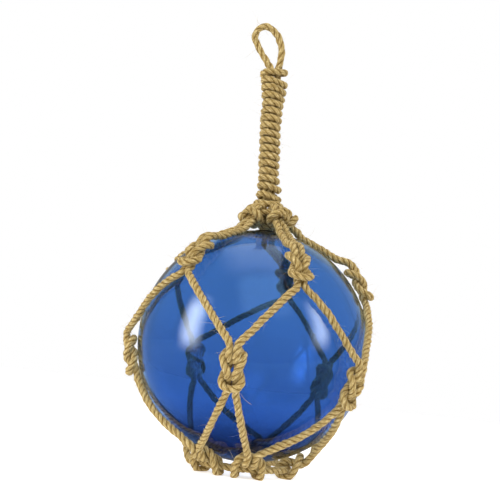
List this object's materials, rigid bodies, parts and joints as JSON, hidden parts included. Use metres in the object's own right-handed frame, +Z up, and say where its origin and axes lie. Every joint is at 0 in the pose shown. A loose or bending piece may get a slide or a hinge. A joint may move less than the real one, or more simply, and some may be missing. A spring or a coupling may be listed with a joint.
{
  "type": "glass float ball in a rope net",
  "caption": "Hollow glass ball held in a knotted jute net, with a rope-bound handle above it and a loop for hanging.",
  "frame": {"origin": "centre of the bounding box's underside, on the surface that the base hitches stand on", "axes": "+Z up from the base ring to the hanging loop, -Y towards the front of the picture, +X to the picture's right"},
  "size_m": [0.1596, 0.1594, 0.299],
  "materials": {
    "glass": "clear cobalt blue, blown, gloss",
    "jute": "twisted jute rope, matt"
  },
  "bodies": {
    "root": {"glass_ball": "glass", "hanger_1": "jute", "hanger_2": "jute", "hanger_3": "jute", "hanger_4": "jute", "hanger_5": "jute", "upper_mesh_rope": "jute", "lower_mesh_rope": "jute", "base_ring": "jute", "collar_ring": "jute", "handle_rope": "jute", "handle_whipping": "jute"}
  },
  "joints": []
}
